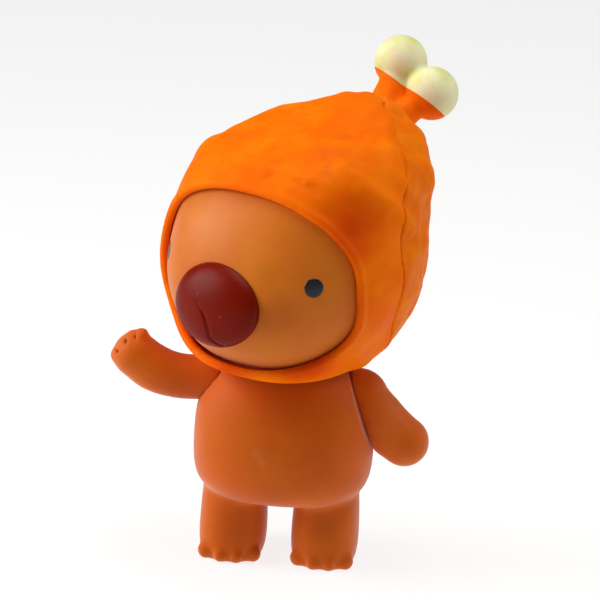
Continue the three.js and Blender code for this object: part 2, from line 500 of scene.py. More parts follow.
def settle(piece: bpy.types.Object, turn: float = 0.0) -> None:
    """Carry a finished piece from the neck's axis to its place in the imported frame.

    Args:
        piece: The finished piece.
        turn: Degrees that it turns about the neck.
    """
    Bench.take(piece)
    piece.location = (NECK.x, NECK.y, 0)
    piece.rotation_euler = (0, 0, math.radians(turn))
    bpy.ops.object.transform_apply(location=True, rotation=True, scale=True)


# ---- Finishes ------------------------------------------------------------------------------------
def linear(colour: str) -> tuple[float, float, float, float]:
    """Turn an sRGB hex colour into linear light with full alpha."""
    parts = [int(colour[i : i + 2], 16) / 255 for i in (1, 3, 5)]
    return (*[c / 12.92 if c <= 0.04045 else ((c + 0.055) / 1.055) ** 2.4 for c in parts], 1.0)


def per_mm(size: float) -> float:
    """The noise scale whose features are about this many millimetres across, on coordinates in metres."""
    return 1 / (size * MM)


def add(
    tree: bpy.types.NodeTree, kind: str, links: dict[str | int, object] | None = None, **settings: object
) -> bpy.types.Node:
    """Add a node with its settings, filled sockets and links.

    Args:
        tree: The material's node tree.
        kind: The node's type.
        links: For each input, a value or the output socket that feeds it.
        settings: The node's own properties.

    Returns:
        The node.
    """
    node = tree.nodes.new(kind)
    for key, value in settings.items():
        setattr(node, key, value)
    for key, value in (links or {}).items():
        if isinstance(value, bpy.types.NodeSocket):
            tree.links.new(value, node.inputs[key])
        else:
            node.inputs[key].default_value = value
    return node


def noise(
    tree: bpy.types.NodeTree, place: bpy.types.NodeSocket, size: float, **shape: float
) -> bpy.types.NodeSocket:
    """Add a noise.

    Args:
        tree: The material's node tree.
        place: The coordinates.
        size: Millimetres across one of its features.
        shape: Its other inputs.

    Returns:
        The noise's value, from 0 to 1.
    """
    links = {"Vector": place, "Scale": per_mm(size), **shape}
    return add(tree, "ShaderNodeTexNoise", links).outputs["Fac"]


def fade(
    tree: bpy.types.NodeTree,
    value: bpy.types.NodeSocket,
    span: tuple[float, float],
    reach: tuple[float, float],
    **settings: object,
) -> bpy.types.NodeSocket:
    """Carry a value from one span to another.

    Args:
        tree: The material's node tree.
        value: The value.
        span: The two values that it comes from.
        reach: The two values that they become.
        settings: The node's own properties.

    Returns:
        The carried value.
    """
    ends = dict(zip(("From Min", "From Max", "To Min", "To Max"), (*span, *reach)))
    return add(tree, "ShaderNodeMapRange", {"Value": value, **ends}, **settings).outputs[0]


def tint(
    tree: bpy.types.NodeTree, share: bpy.types.NodeSocket, under: object, over: str
) -> bpy.types.NodeSocket:
    """Lay one colour over another.

    Args:
        tree: The material's node tree.
        share: How much of the upper colour shows.
        under: The lower colour, or the socket that gives it.
        over: The upper colour.

    Returns:
        The mixed colour.
    """
    mixed = add(tree, "ShaderNodeMix", {0: share, 6: under, 7: linear(over)}, data_type="RGBA")
    return mixed.outputs[2]


def fresh(name: str) -> tuple[bpy.types.Material, bpy.types.NodeTree]:
    """Start a material with an empty node tree.

    Args:
        name: The material's name.

    Returns:
        The material and its node tree.
    """
    material = bpy.data.materials.new(name)
    material.use_nodes = True
    material.node_tree.nodes.clear()
    return material, material.node_tree


@dataclass(frozen=True)
class ShadeLightScuffPatch:
    """A soft patch laid over the spray, used for painted shade, painted light, a darker tone and pale
    scuffs: its middle about the neck's axis, its size and its colour.
    """

    at: Point
    reach: float
    colour: str
    share: float
    turn: float = 0.0

    def place(self) -> Vector:
        """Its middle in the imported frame, in metres."""
        turned = Matrix.Rotation(math.radians(self.turn), 3, "Z") @ metres(self.at)
        return turned + Vector((NECK.x, NECK.y, 0))

    def spread(
        self,
        tree: bpy.types.NodeTree,
        place: bpy.types.NodeSocket,
        drift: bpy.types.NodeSocket,
        colour: bpy.types.NodeSocket,
    ) -> bpy.types.NodeSocket:
        """Lay the patch over a colour, with an edge that a noise makes ragged.

        Args:
            tree: The material's node tree.
            place: The coordinates.
            drift: The noise.
            colour: The colour below.

        Returns:
            The colour with the patch.
        """
        reach = self.reach * MM
        away = add(tree, "ShaderNodeVectorMath", {0: place, 1: self.place()}, operation="DISTANCE")
        ragged = add(
            tree, "ShaderNodeMath", {0: drift, 1: reach * 0.8, 2: away.outputs["Value"]},
            operation="MULTIPLY_ADD",
        )
        share = fade(
            tree, ragged.outputs[0], (reach * 1.4, reach * 0.5), (0.0, self.share),
            interpolation_type="SMOOTHSTEP",
        )
        return tint(tree, share, colour, self.colour)


@dataclass(frozen=True)
class Dots:
    """Small round marks: dust in the spray or chips in it, set apart by a cell noise."""

    spacing: float
    size: float
    core: float
    colour: str

    def scatter(
        self,
        tree: bpy.types.NodeTree,
        place: bpy.types.NodeSocket,
        share: float,
        colour: bpy.types.NodeSocket,
    ) -> bpy.types.NodeSocket:
        """Lay the marks over a colour.

        Args:
            tree: The material's node tree.
            place: The coordinates.
            share: How strongly the marks show.
            colour: The colour below.

        Returns:
            The colour with the marks.
        """
        links = {"Vector": place, "Scale": per_mm(self.spacing), "Randomness": 1.0}
        cells = add(tree, "ShaderNodeTexVoronoi", links).outputs["Distance"]
        mark = fade(tree, cells, (self.size, self.core), (0.0, share))
        return tint(tree, mark, colour, self.colour)


DUST = Dots(5.2, 0.03, 0.018, "#3a1a10")
CHIPS = Dots(3.4, 0.06, 0.035, "#b06048")


@dataclass(frozen=True)
class SoftVinyl:
    """Rotocast PVC, sprayed with a satin tint: soft light inside it, slow colour drift, and the odd speck.

    The drift is the spray's uneven coat, centimetres wide; the grain is the mould's fine blast texture.
    """

    name: str
    base: str
    warm: str
    dark: str
    warm_size: float = 14.0
    dark_size: float = 9.0
    warm_share: float = 0.5
    dark_share: float = 0.35
    roughness: float = 0.5
    specular: float = 0.5
    glow: float = 0.12
    glow_depth: float = 1.6
    grain: float = 0.35
    grain_height: float = 0.012
    specks: float = 0.0
    ior: float = 1.5
    sheen: float = 0.0
    sheen_colour: str = "#ffd9c8"
    shade_light_scuff_patches: tuple[ShadeLightScuffPatch, ...] = ()
    pale_marks: float = 0.0

    def make(self) -> bpy.types.Material:
        """Build the material.

        Returns:
            The material.
        """
        material, tree = fresh(self.name)
        place = add(tree, "ShaderNodeTexCoord").outputs["Object"]
        cloud = noise(tree, place, self.warm_size, Detail=3.0)
        warm = fade(tree, cloud, (0.42, 0.66), (0.0, self.warm_share))
        drift = noise(tree, place, self.dark_size, Detail=4.0, Roughness=0.55, Distortion=0.4)
        dark = fade(tree, drift, (0.5, 0.75), (0.0, self.dark_share))
        colour = tint(tree, dark, tint(tree, warm, linear(self.base), self.warm), self.dark)
        # Lay the patches of painted shade, painted light, darker tone and pale scuffs.
        for shade_light_scuff_patch in self.shade_light_scuff_patches:
            colour = shade_light_scuff_patch.spread(tree, place, drift, colour)
        if self.specks:
            colour = DUST.scatter(tree, place, self.specks, colour)
        if self.pale_marks:
            colour = CHIPS.scatter(tree, place, self.pale_marks, colour)
        wear = noise(tree, place, 3.0, Detail=5.0, Roughness=0.6)
        gloss = fade(tree, wear, (0.3, 0.7), (self.roughness - 0.05, self.roughness + 0.07))
        grain = noise(tree, place, self.grain, Detail=2.0)
        relief = add(
            tree,
            "ShaderNodeBump",
            {"Height": grain, "Strength": 0.5, "Distance": self.grain_height * MM},
        )
        body = add(
            tree,
            "ShaderNodeBsdfPrincipled",
            {
                "Base Color": colour,
                "Roughness": gloss,
                "Normal": relief.outputs["Normal"],
                "IOR": self.ior,
                "Specular IOR Level": self.specular,
                "Subsurface Weight": self.glow,
                "Subsurface Radius": (1.0, 0.4, 0.15),
                "Subsurface Scale": self.glow_depth * MM,
                "Sheen Weight": self.sheen,
                "Sheen Roughness": 0.4,
                "Sheen Tint": linear(self.sheen_colour),
            },
        )
        add(tree, "ShaderNodeOutputMaterial", {"Surface": body.outputs[0]})
        return material


@dataclass(frozen=True)
class StudioFloor:
    """White background paper, matt with a faint tooth, lit evenly so that the eye stays on the figure."""

    name: str = "white background paper"

    def make(self) -> bpy.types.Material:
        """Build the material.

        Returns:
            The material.
        """
        material, tree = fresh(self.name)
        place = add(tree, "ShaderNodeTexCoord").outputs["Object"]
        tooth = noise(tree, place, 1.5, Detail=2.0)
        relief = add(tree, "ShaderNodeBump", {"Height": tooth, "Strength": 0.1, "Distance": 0.02 * MM})
        paper = add(
            tree,
            "ShaderNodeBsdfPrincipled",
            {
                "Base Color": linear("#747472"),
                "Roughness": 0.9,
                "Normal": relief.outputs["Normal"],
                "Emission Color": linear("#ffffff"),
                "Emission Strength": 0.84,
            },
        )
        add(tree, "ShaderNodeOutputMaterial", {"Surface": paper.outputs[0]})
        return material


class Finishes:
    """Every finish of the figure, made once."""

    def __init__(self) -> None:
        """Make the materials."""
        # Caramel vinyl of the body: satin, warm, paler where it turns away, with a few dust specks.
        self.skin = SoftVinyl(
            "caramel rotocast PVC", "#d05a06", "#d4680e", "#bc4c04", specular=0.12, sheen=0.55, specks=0.4,
            # Painted shadow of the head on the upper chest, painted shade on the raised arm's root, under
            # the belly and on both legs' fronts, and a painted highlight on the hanging arm's upper face;
            # the last two patches are pale scuffs on the belly.
            shade_light_scuff_patches=(
                ShadeLightScuffPatch((0, -12, 34), 8, "#b24402", 0.4),
                ShadeLightScuffPatch((-20, -3, 32), 7, "#ac4202", 0.4),
                ShadeLightScuffPatch((20, -3, 30), 6, "#d4702c", 0.5),
                ShadeLightScuffPatch((0, -14, 15), 6, "#b84a06", 0.5),
                ShadeLightScuffPatch((8.8, -9, 9), 5, "#b84c04", 0.5),
                ShadeLightScuffPatch((-8.8, -9, 8), 5, "#c05208", 0.4),
                ShadeLightScuffPatch((-3.6, -15, 24.6), 1.5, "#cf8a50", 0.22),
                ShadeLightScuffPatch((-2.6, -15, 22.9), 1.2, "#cf8a50", 0.2),
            ),
        ).make()
        # Lighter caramel of the face: the eye reads it as a thinner, sandier coat than the body's.
        self.face = SoftVinyl(
            "light caramel rotocast PVC", "#cf6a18", "#d27a14", "#c05c16", roughness=0.46, specular=0.12,
            sheen=0.35,
            # Painted light on the upper face towards the figure's right, painted shade on its left side
            # beside the nose, and a darker, yellower patch between the nose and the left eye.
            shade_light_scuff_patches=(
                ShadeLightScuffPatch((10, -21, 60.5), 4, "#c4690a", 0.8, HEAD_TURN),
                ShadeLightScuffPatch((12, -20, 54), 6, "#b9590a", 0.7, HEAD_TURN),
                ShadeLightScuffPatch((-6, -20, 66), 9, "#dc8440", 0.6, HEAD_TURN),
            ),
        ).make()
        # Orange vinyl of the hood: saturated and nearly matt, glowing at thin edges, with painted red shade
        # down its left side and on its lower front.
        self.hood = SoftVinyl(
            "orange rotocast PVC", "#f56802", "#f87c04", "#e24c01", warm_size=9, dark_size=7,
            warm_share=0.7, dark_share=0.3, roughness=0.5, specular=0.05, ior=1.35, specks=0.4,
            glow=0.3, glow_depth=2.6, grain=1.5, grain_height=0.11,
            shade_light_scuff_patches=(
                ShadeLightScuffPatch((19, -9, 69), 9, "#c83600", 0.9, HEAD_TURN),
                ShadeLightScuffPatch((20, -14, 56), 10, "#d03e00", 0.8, HEAD_TURN),
                ShadeLightScuffPatch((16, -14, 43), 9, "#c83a00", 0.9, HEAD_TURN),
                ShadeLightScuffPatch((0, -18, 38), 8, "#cc3a00", 0.8, HEAD_TURN),
            ),
        ).make()
        # The hood's back half: a yellower cast with a coarser, more crumpled skin.
        self.hood_back = SoftVinyl(
            "orange rotocast PVC, second cast", "#ec6c02", "#f68c06", "#d45202", warm_size=5, dark_size=4,
            roughness=0.5, specular=0.06, ior=1.35, specks=0.4, warm_share=0.5, dark_share=0.3,
            grain=1.6, grain_height=0.16,
        ).make()
        # Oxblood vinyl of the nose: dark and dense with a soft highlight and a few chips.
        self.nose = SoftVinyl(
            "oxblood injected PVC", "#741000", "#841a02", "#620a00", roughness=0.36, specular=0.09,
            glow=0.03, pale_marks=0.5,
        ).make()
        # Cream paint of the pompoms: chalky, drifting from greenish yellow to pink.
        self.cream = SoftVinyl(
            "cream sprayed PVC", "#e8e4b4", "#d6da7c", "#ecc4aa", warm_size=4.5, dark_size=5, specks=0.8,
            warm_share=0.9, dark_share=0.6, specular=0.3, sheen=0.2, sheen_colour="#ffffff",
        ).make()
        # Pad-printed ink of the eyes: flat black with a small dull glint.
        self.eye = SoftVinyl(
            "black pad-printed ink", "#0b090c", "#16161a", "#060507", warm_size=1.2, roughness=0.3, glow=0.0
        ).make()
        # Natural acetal of the pegs: milky and slightly waxy, as bare moulded plastic looks.
        self.peg = SoftVinyl(
            "natural moulded POM", "#e4e0d6", "#ece8de", "#d2cdc0", roughness=0.38, glow=0.1
        ).make()
        self.floor = StudioFloor().make()


@dataclass
class Maker:
    """What every sub-assembly needs: the finishes, and how a finished piece is handed over."""

    finishes: Finishes

    def hand_over(
        self,
        piece: bpy.types.Object,
        finish: bpy.types.Material,
        body: str,
        slot: str,
        *stands_for: str,
    ) -> None:
        """Give a piece its finish and its body, and hide the CAD nodes that it stands for.

        Args:
            piece: A finished piece, settled in the frame.
            finish: Its material.
            body: The body that carries it.
            slot: The record's material slot; not used.
            stands_for: The CAD nodes that it stands for.
        """
        piece.data.materials.clear()
        piece.data.materials.append(finish)
        for face in piece.data.polygons:
            face.material_index = 0
        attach(piece, body)
        if stands_for:
            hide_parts(*stands_for)
        LOG.info("%s: %d faces on %s", piece.name, len(piece.data.polygons), body)


# ---- Torso and legs ------------------------------------------------------------------------------
@dataclass
class Torso(Maker):
    """Pear-shaped torso and two short legs with four toes each, cast in one hollow shell."""

    wall: float = 1.8
    leg_out: float = 8.8
    seat: float = 4.7
    neck_hole: float = 5.0
    arm_hole: float = 1.95
    toe_width: float = 3.0
    toe_bow: float = 0.7
    toe_front: float = 7.4
    toe_height: float = 1.4
    toe_size: Point = (1.6, 1.75, 1.7)
    cleft_size: Point = (0.42, 0.95, 1.7)
    cleft_lean: float = 14.0
    trunk: tuple[Section, ...] = sections(
        (12.3, 6.0, 5.0, 5.0),
        (12.0, 11.5, 9.2, 8.8),
        (14.4, 16.0, 13.5, 12.7),
        (18.2, 17.1, 15.3, 14.4),
        (22.5, 17.2, 15.5, 14.4),
        (28.0, 17.1, 14.3, 13.2),
        (33.0, 16.2, 12.5, 11.6),
        (37.0, 12.1, 10.2, 9.8),
        (38.9, 9.6, 8.5, 8.5),
        (39.2, 6.0, 6.0, 6.0),
    )
    leg: tuple[Section, ...] = sections(
        (-1.2, 3.6, 5.0, 4.4),
        (-1.0, 5.3, 7.2, 6.1),
        (1.2, 6.35, 8.6, 7.3),
        (4.6, 6.5, 8.6, 7.5),
        (9.5, 6.35, 7.9, 7.4),
        (15.0, 6.0, 7.2, 7.1),
        (19.0, 4.6, 6.0, 6.0),
    )

    def build_leg(self, side: Side) -> bpy.types.Object:
        """Build one leg, from its sole to inside the trunk.

        Args:
            side: Which leg.

        Returns:
            The leg as a closed form.
        """
        leg = loft("leg", self.leg, squareness=2.5)
        Bench.smooth_cage(leg)
        Bench.take(leg)
        leg.location = metres((side.value * self.leg_out, 0, 0))
        bpy.ops.object.transform_apply(location=True, rotation=False, scale=False)
        return leg

    def toe_places(self, side: Side, steps: Sequence[float]) -> list[Point]:
        """Places along the foot's front edge, counted in toe widths from its middle."""
        middle = side.value * self.leg_out
        return [
            (middle + step * self.toe_width, self.toe_bow * step * step - self.toe_front, self.toe_height)
            for step in steps
        ]

    def toes(self, side: Side) -> list[bpy.types.Object]:
        """Four low round toes along the foot's front edge."""
        places = self.toe_places(side, (-1.5, -0.5, 0.5, 1.5))
        return [ball("toe", place, self.toe_size) for place in places]

    def toe_clefts(self, side: Side) -> list[bpy.types.Object]:
        """Three wedges that part the toes."""
        wedges = []
        steps = (-1, 0, 1)
        for (x, y, z), step in zip(self.toe_places(side, steps), steps):
            lean = (self.cleft_lean, 0, step * self.cleft_lean)
            wedges.append(ball("cleft", (x, y - 1.4, z - 0.2), self.cleft_size, lean))
        return wedges

    def build(self) -> bpy.types.Object:
        """Build the shell.

        Returns:
            The torso and legs as one closed hollow moulding, open at the neck and the shoulders.
        """
        trunk = loft("trunk", self.trunk, squareness=2.3)
        Bench.smooth_cage(trunk)
        shell = Bench.join("torso_and_legs", trunk, *[self.build_leg(side) for side in Side])
        Bench.fuse(shell, 0.55, relax=14)
        shell = Bench.join("torso_and_legs", shell, *[toe for side in Side for toe in self.toes(side)])
        Bench.fuse(shell, 0.34, relax=5)
        for side in Side:
            for wedge in self.toe_clefts(side):
                Bench.cut(shell, wedge)
        Bench.slice(shell, shoulder_point(Side.LEFT), -shoulder_axis(Side.LEFT))
        seat = rod("seat", shoulder_point(Side.RIGHT, 5.0), shoulder_axis(Side.RIGHT), self.seat, 10.0)
        Bench.cut(shell, seat)
        Bench.fuse(shell, 0.36, relax=3)
        Bench.slice(shell, (0, 0, 0), (0, 0, 1))
        Bench.mend(shell)
        Bench.apply(shell, "SOLIDIFY", thickness=self.wall * MM, offset=-1.0)
        Bench.cut(shell, rod("neck hole", (0, 0, 39), (0, 0, 1), self.neck_hole, 8.0))
        for side in Side:
            hole = rod("arm hole", shoulder_point(side), shoulder_axis(side), self.arm_hole, 8.0)
            Bench.cut(shell, hole)
        return shell

    def make(self) -> None:
        """Build, settle and dress the shell."""
        shell = self.build()
        settle(shell)
        self.hand_over(shell, self.finishes.skin, "torso", "skin_vinyl", "torso_and_legs_shell")
        Bench.crisp(shell)


# ---- Arms ----------------------------------------------------------------------------------------
@dataclass
class Arm(Maker):
    """A solid arm whose flat root turns on the torso's flat, with a socket for its peg."""

    side: Side = Side.LEFT
    name: str = "arm"
    node: str = ""
    body: str = ""
    line: tuple[tuple[float, float], ...] = ()
    radii: tuple[float, ...] = ()
    gap: float = 0.12
    socket: float = 2.35
    socket_depth: float = 3.55

    def points(self) -> list[Point]:
        """The arm's centre line from inside its root to its hand."""
        return [(self.side.value * x, 0.0, z) for x, z in self.line]

    def fingers(self) -> list[bpy.types.Object]:
        """Blanks that are melted into the hand; a plain hand has none."""
        return []

    def clefts(self) -> list[bpy.types.Object]:
        """Wedges that are taken out between the fingers."""
        return []

    def build(self) -> bpy.types.Object:
        """Build the arm.

        Returns:
            The arm as one closed solid.
        """
        line = self.points()
        start = tuple(shoulder_point(self.side, -2.5))
        root = tuple(shoulder_point(self.side, 1.0))
        bar = tube("bar", [start, root, *line], self.radii)
        end = ball("end", line[-1], [self.radii[-1]] * 3)
        arm = Bench.join(self.name, bar, end, *self.fingers())
        Bench.fuse(arm, 0.45, relax=10)
        for wedge in self.clefts():
            Bench.cut(arm, wedge)
        Bench.slice(arm, shoulder_point(self.side, self.gap), shoulder_axis(self.side))
        Bench.fuse(arm, 0.24, relax=5)
        hole = rod(
            "socket",
            shoulder_point(self.side, self.socket_depth / 2 - 1),
            shoulder_axis(self.side),
            self.socket,
            self.socket_depth + 2,
        )
        Bench.cut(arm, hole)
        return arm

    def make(self) -> None:
        """Build, settle and dress the arm."""
        arm = self.build()
        settle(arm)
        self.hand_over(arm, self.finishes.skin, self.body, "skin_vinyl", self.node)
        Bench.crisp(arm)


@dataclass
class RaisedArm(Arm):
    """The figure's right arm: level to the elbow, then up to a blunt hand with four short fingers."""

    side: Side = Side.RIGHT
    name: str = "raised_arm"
    node: str = "raised_arm_shell"
    body: str = "right_arm"
    line: tuple[tuple[float, float], ...] = ((16.8, 33.7), (20.9, 33.7), (25.4, 34.9), (28.9, 37.2))
    radii: tuple[float, ...] = (4.3, 4.35, 4.3, 4.35, 4.55, 4.4)
    palm: tuple[float, float] = (28.6, 37.0)
    finger_tips: tuple[tuple[float, float], ...] = ((33.8, 36.9), (32.1, 40.1), (30.0, 42.0), (27.6, 42.6))
    finger_radii: tuple[float, ...] = (1.7, 1.5, 1.4, 1.35)

    def fingers(self) -> list[bpy.types.Object]:
        """Four short fingers along the hand's blunt end."""
        palm = Vector((-self.palm[0], 0, self.palm[1]))
        made = []
        for (x, z), radius in zip(self.finger_tips, self.finger_radii):
            tip = Vector((-x, -0.4, z))
            end = tip + (palm - tip).normalized() * radius
            made.append(tube("finger", [tuple(palm.lerp(end, 0.4)), tuple(end)], (radius + 0.5, radius)))
            made.append(ball("finger tip", tuple(end), (radius, radius + 0.4, radius)))
        return made

    def clefts(self) -> list[bpy.types.Object]:
        """Thin wedges between the fingers, front and back."""
        palm = Vector((-self.palm[0], 0, self.palm[1]))
        made = []
        for (x0, z0), (x1, z1) in zip(self.finger_tips, self.finger_tips[1:]):
            edge = Vector((-(x0 + x1) / 2, -0.4, (z0 + z1) / 2))
            heading = math.degrees(math.atan2(edge.x - palm.x, edge.z - palm.z))
            for front in (-1, 1):
                at = palm.lerp(edge, 0.86) + Vector((0, front * 2.0, 0))
                made.append(ball("cleft", tuple(at), (0.3, 1.1, 1.3), (0, heading, 0)))
        return made


@dataclass
class HangingArm(Arm):
    """The figure's left arm: a straight paddle that hangs out from the shoulder."""

    side: Side = Side.LEFT
    name: str = "hanging_arm"
    node: str = "hanging_arm_shell"
    body: str = "left_arm"
    line: tuple[tuple[float, float], ...] = ((15.3, 31.6), (17.5, 28.7), (20.2, 26.0), (22.7, 24.2))
    radii: tuple[float, ...] = (4.0, 4.15, 4.65, 5.0, 4.95, 4.75)


# ---- Head ----------------------------------------------------------------------------------------
@dataclass
class Head(Maker):
    """The inner head that the hood is fitted over, its nose and its painted eyes."""

    wall: float = 1.8
    neck_bore: float = 5.95
    skull_shift: float = 0.35
    eye_radius: float = 1.8
    eye_bearing: float = 46.5
    eye_height: float = 59.2
    nose_middle: Point = (0.0, -21.9, 53.6)
    nose_size: Point = (9.3, 3.9, 7.7)
    nose_tilt: float = -8.0
    cleft: tuple[tuple[float, float], ...] = (
        (-1.0, 53.6), (0.2, 52.2), (0.9, 50.2), (1.3, 48.2), (3.4, 46.7)
    )
    cleft_radii: tuple[float, ...] = (0.26, 0.4, 0.42, 0.4, 0.3)
    cleft_fork: tuple[tuple[float, float], ...] = ((-2.6, 54.4), (-1.6, 54.1), (-0.9, 53.4))
    fork_radii: tuple[float, ...] = (0.2, 0.3, 0.3)
    skull: tuple[Section, ...] = sections(
        (39.6, 6.0, 6.5, 6.0),
        (39.7, 11.6, 12.8, 11.2),
        (42.4, 15.4, 18.1, 14.6),
        (47.5, 19.2, 21.6, 18.6),
        (54.0, 22.2, 23.0, 20.4),
        (60.0, 22.6, 22.2, 21.2),
        (67.0, 22.0, 19.9, 21.7),
        (73.5, 20.4, 16.4, 22.0),
        (78.6, 16.0, 9.2, 19.2),
        (81.4, 8.0, 1.2, 12.3),
    )

    def build_skull(self) -> bpy.types.Object:
        """Build the hollow head.

        Returns:
            The head's shell, open at the neck.
        """
        head = loft("head_casting", self.skull, squareness=2.45)
        Bench.smooth_cage(head, levels=3)
        Bench.fuse(head, 0.46, relax=6)
        Bench.mend(head)
        Bench.apply(head, "SOLIDIFY", thickness=self.wall * MM, offset=-1.0)
        Bench.cut(head, rod("neck bore", (0, 0, 41), (0, 0, 1), self.neck_bore, 14.0))
        return head

    def build_nose(self) -> bpy.types.Object:
        """Build the nose, a broad dome with a cleft down its front that forks at the top.

        Returns:
            The nose.
        """
        nose = ball("nose_moulding", self.nose_middle, self.nose_size, (self.nose_tilt, 0, 0))
        groove = tube("cleft", self.on_front(nose, self.cleft), self.cleft_radii)
        fork = tube("fork", self.on_front(nose, self.cleft_fork), self.fork_radii)
        Bench.cut(nose, groove)
        Bench.cut(nose, fork)
        Bench.fuse(nose, 0.2, relax=5)
        return nose

    @staticmethod
    def on_front(form: bpy.types.Object, line: Sequence[tuple[float, float]]) -> list[Point]:
        """Lay a line of (X, Z) points on the front of a form.

        Args:
            form: The form.
            line: The points in millimetres.

        Returns:
            The points on the form's skin, in millimetres.
        """
        laid = []
        for x, z in line:
            _, spot, _, _ = form.ray_cast(metres((x, -60, z)), Vector((0, 1, 0)))
            laid.append(tuple(spot / MM))
        return laid

    def build_eye(self, side: Side, skull: bpy.types.Object) -> bpy.types.Object:
        """Print one eye: a thin round of ink that lies on the face.

        Args:
            side: Which eye.
            skull: The head that it lies on.

        Returns:
            The eye.
        """
        bearing = math.radians(self.eye_bearing)
        heading = Vector((side.value * math.sin(bearing), -math.cos(bearing), 0))
        outside = heading * 60 + Vector((0, 0, self.eye_height))
        _, spot, normal, _ = skull.ray_cast(metres(outside), -heading)
        Bench.clear()
        bpy.ops.mesh.primitive_circle_add(
            vertices=40,
            radius=self.eye_radius * MM,
            fill_type="NGON",
            location=spot + normal * MM,
            rotation=normal.to_track_quat("Z", "Y").to_euler(),
        )
        eye = bpy.context.object
        eye.name = f"eye_{side.name.lower()}"
        bpy.ops.object.transform_apply(location=True, rotation=True, scale=True)
        Bench.edit(eye)
        bpy.ops.mesh.select_all(action="SELECT")
        for _ in range(5):
            bpy.ops.mesh.inset(thickness=self.eye_radius / 6 * MM)
        bpy.ops.mesh.poke()
        bpy.ops.object.mode_set(mode="OBJECT")
        Bench.apply(
            eye, "SHRINKWRAP", wrap_method="NEAREST_SURFACEPOINT", wrap_mode="ABOVE_SURFACE", target=skull,
            offset=0.06 * MM,
        )
        Bench.mend(eye)
        Bench.apply(eye, "SOLIDIFY", thickness=0.12 * MM, offset=-1.0)
        return eye

    def make(self) -> None:
        """Build, settle and dress the head, the nose and the eyes."""
        skull = self.build_skull()
        Bench.take(skull)
        skull.location = metres((self.skull_shift, 0, 0))
        bpy.ops.object.transform_apply(location=True)
        eyes = [self.build_eye(side, skull) for side in Side]
        nose = self.build_nose()
        settle(skull, HEAD_TURN)
        self.hand_over(skull, self.finishes.face, "head", "face_vinyl", "head_shell")
        Bench.crisp(skull)
        settle(nose, HEAD_TURN)
        Bench.mend(nose)
        self.hand_over(nose, self.finishes.nose, "head", "nose_vinyl", "nose")
        for eye in eyes:
            settle(eye, HEAD_TURN)
            Bench.mend(eye)
            self.hand_over(eye, self.finishes.eye, "head", "face_vinyl")


# ---- Hood ----------------------------------------------------------------------------------------
@dataclass(frozen=True)
class Fold:
    """A ridge or a dent in the hood: its line (bearing, height), how far it stands out, and its width."""

    line: tuple[tuple[float, float], ...]
    out: float
    reach: float


